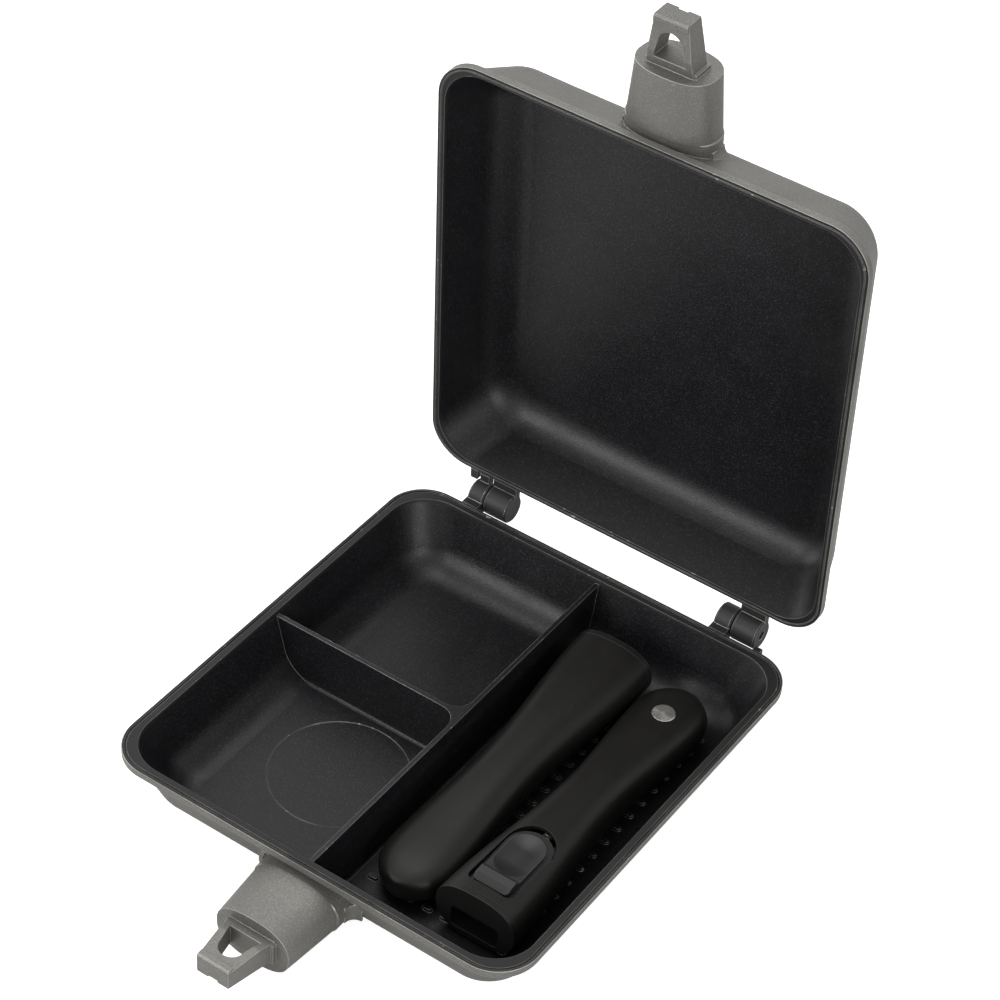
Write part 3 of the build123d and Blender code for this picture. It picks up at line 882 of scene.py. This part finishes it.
@dataclass
class StowedHandle:
    """A clip-on handle lying in the large compartment."""

    side: Side
    finishes: HandleFinishes
    button_stroke: float = 0.004
    right_press: Triple = (0.0, 1.0, 0.0)
    left_press: Triple = (0.0, -0.998223, -0.059584)
    weld_distance: float = 0.000001

    def wind_spring(self) -> None:
        """Stands a coil in for the CAD spring, welded from its mesh."""
        name = f"{self.side.value}_handle_spring"
        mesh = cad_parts[name].data.copy()
        shape = bmesh.new()
        shape.from_mesh(mesh)
        bmesh.ops.remove_doubles(shape, verts=shape.verts, dist=self.weld_distance)
        bmesh.ops.recalc_face_normals(shape, faces=shape.faces)
        shape.to_mesh(mesh)
        shape.free()
        mesh.materials.clear()
        mesh.materials.append(self.finishes.spring)
        coil = add_object(f"{self.side.value}_button_coil", mesh)
        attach(coil, f"{self.side.value}_handle")
        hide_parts(name)
        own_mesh(coil)
        LOG.info("%s: drawn wire, shortens with the button", coil.name)

    def dress(self) -> None:
        """Gives each part of the handle its finish."""
        f = self.finishes
        parts = {"grip": f.grip, "collar": f.collar, "button": f.button, "latch_frame": f.latch,
                 "pawl": f.latch, "pawl_pin": f.pin, "magnet": f.magnet}
        for part, material in parts.items():
            put_on(f"{self.side.value}_handle_{part}", material)
        self.wind_spring()


def add_object(name: str, data: bpy.types.ID) -> bpy.types.Object:
    """Adds an object to the scene.

    Args:
        name: The object's name.
        data: Its mesh, lamp or camera.

    Returns:
        The object.
    """
    added = bpy.data.objects.new(name, data)
    bpy.context.scene.collection.objects.link(added)
    return added


def put_on(name: str, material: bpy.types.Material) -> None:
    """Gives a CAD node its material.

    Args:
        name: The node's name.
        material: The material for all its slots.
    """
    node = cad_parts[name]
    for held in node.material_slots:
        held.material = material
    LOG.info("%s: %s", name, material.name)


@dataclass(frozen=True)
class Softbox:
    """A soft rectangular lamp: where it stands, the point it faces, its size and its watts."""

    name: str
    at: Triple
    aim: Triple
    width: float
    power: float
    height: Optional[float] = None

    def add(self) -> None:
        """Hangs the lamp."""
        data = bpy.data.lights.new(self.name, "AREA")
        data.shape = "RECTANGLE"
        data.size = self.width
        data.size_y = self.height or self.width
        data.energy = self.power
        lamp = add_object(self.name, data)
        lamp.location = self.at
        towards = Vector(self.aim) - Vector(self.at)
        lamp.rotation_euler = towards.to_track_quat("-Z", "Y").to_euler()


@dataclass
class Studio:
    """Camera, lamps, world and floor."""

    camera_at: Triple = (0.5128, -0.7877, 0.9874)
    turn_degrees: float = 32.35
    rise_degrees: float = 41.36
    roll_degrees: float = 4.10
    lens_ratio: float = 3.0227
    sensor: float = 36.0
    clip: Span = (0.05, 30.0)
    ambient: float = 0.50
    floor_reach: float = 6.0
    floor_z: float = -0.0002
    floor_tones: tuple[Colour, Colour] = ((0.80, 0.80, 0.80), (0.83, 0.83, 0.83))
    floor_cells: float = 3.0
    floor_roughness: float = 0.9
    floor_specular: float = 0.1
    floor_whiteness: float = 0.80
    lamps: tuple[Softbox, ...] = (
        Softbox("top_softbox", at=(-0.32, 0.22, 1.7), aim=(0.0, 0.0, 0.05), width=1.05,
                power=10.5),
        Softbox("left_softbox", at=(-1.6, -0.1, 0.35), aim=(0.0, 0.0, 0.15), width=0.6,
                power=8.0),
        Softbox("front_softbox", at=(-0.8, -1.4, 0.9), aim=(0.0, 0.0, 0.1), width=0.9,
                power=13.0),
        Softbox("right_softbox", at=(1.25, -0.85, 0.55), aim=(0.0, 0.0, 0.05), width=0.45,
                power=7.0, height=0.7),
    )

    def set_camera(self) -> None:
        """Puts the camera where the photograph was taken from."""
        data = bpy.data.cameras.new("photo_camera")
        data.sensor_width = self.sensor
        data.lens = self.lens_ratio * self.sensor
        data.clip_start, data.clip_end = self.clip
        camera = add_object("photo_camera", data)
        turn = math.radians(self.turn_degrees)
        rise = math.radians(self.rise_degrees)
        back = Vector((math.sin(turn) * math.cos(rise), -math.cos(turn) * math.cos(rise),
                       math.sin(rise)))
        right = (-back).cross(Vector((0.0, 0.0, 1.0))).normalized()
        axes = Matrix((right, right.cross(-back), back)).transposed().to_4x4()
        roll = Matrix.Rotation(math.radians(self.roll_degrees), 4, "Z")
        camera.matrix_world = Matrix.Translation(self.camera_at) @ axes @ roll
        bpy.context.scene.camera = camera

    def set_world(self) -> None:
        """White for the camera and in reflections, and softer as a light."""
        world = bpy.data.worlds.new("studio_world")
        bpy.context.scene.world = world
        world.use_nodes = True
        g = Graph(world.node_tree)
        rays = g.add("ShaderNodeLightPath").outputs
        seen = g.math("ADD", rays["Is Camera Ray"], rays["Is Glossy Ray"])
        seen = g.math("ADD", seen, rays["Is Transmission Ray"], clamp=True)
        background = world.node_tree.nodes["Background"]
        background.inputs["Color"].default_value = WHITE
        g.feed(background.inputs["Strength"], g.mix(seen, self.ambient, 1.0))

    def lay_floor(self) -> None:
        """Lays a wide pale floor."""
        shape = bmesh.new()
        bmesh.ops.create_grid(shape, x_segments=1, y_segments=1, size=self.floor_reach)
        mesh = bpy.data.meshes.new("floor")
        shape.to_mesh(mesh)
        shape.free()
        floor = add_object("floor", mesh)
        floor.location.z = self.floor_z
        g, shader, material, point = new_material("pale_floor")
        g.feed(shader.inputs["Base Color"],
               g.blend(g.noise(point, self.floor_cells), *map(opaque, self.floor_tones)))
        shader.inputs["Roughness"].default_value = self.floor_roughness
        shader.inputs["Specular IOR Level"].default_value = self.floor_specular
        shader.inputs["Emission Color"].default_value = WHITE
        rays = g.add("ShaderNodeLightPath").outputs
        g.feed(shader.inputs["Emission Strength"],
               g.math("MULTIPLY", rays["Is Camera Ray"], self.floor_whiteness))
        mesh.materials.append(material)

    def build(self) -> None:
        """Sets up the whole studio."""
        bpy.context.scene.view_settings.view_transform = "Standard"
        self.set_camera()
        self.set_world()
        self.lay_floor()
        for lamp in self.lamps:
            lamp.add()


def main() -> None:
    """Builds the studio and dresses each sub-assembly."""
    logging.basicConfig(level=logging.INFO, format="%(message)s")
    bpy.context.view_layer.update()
    Studio().build()
    effects = Effects()
    PanHalf(Half.LOWER, rim_inset=0.00387, floor_depth=0.0329, rim_height=0.0345).dress(effects)
    PanHalf(Half.LID, rim_inset=0.00217, floor_depth=0.0364, rim_height=0.0347).dress(effects)
    HingePins().dress(effects)
    finishes = HandleFinishes.build(effects)
    for side in Side:
        StowedHandle(side, finishes).dress()


if __name__ == "__main__":
    main()
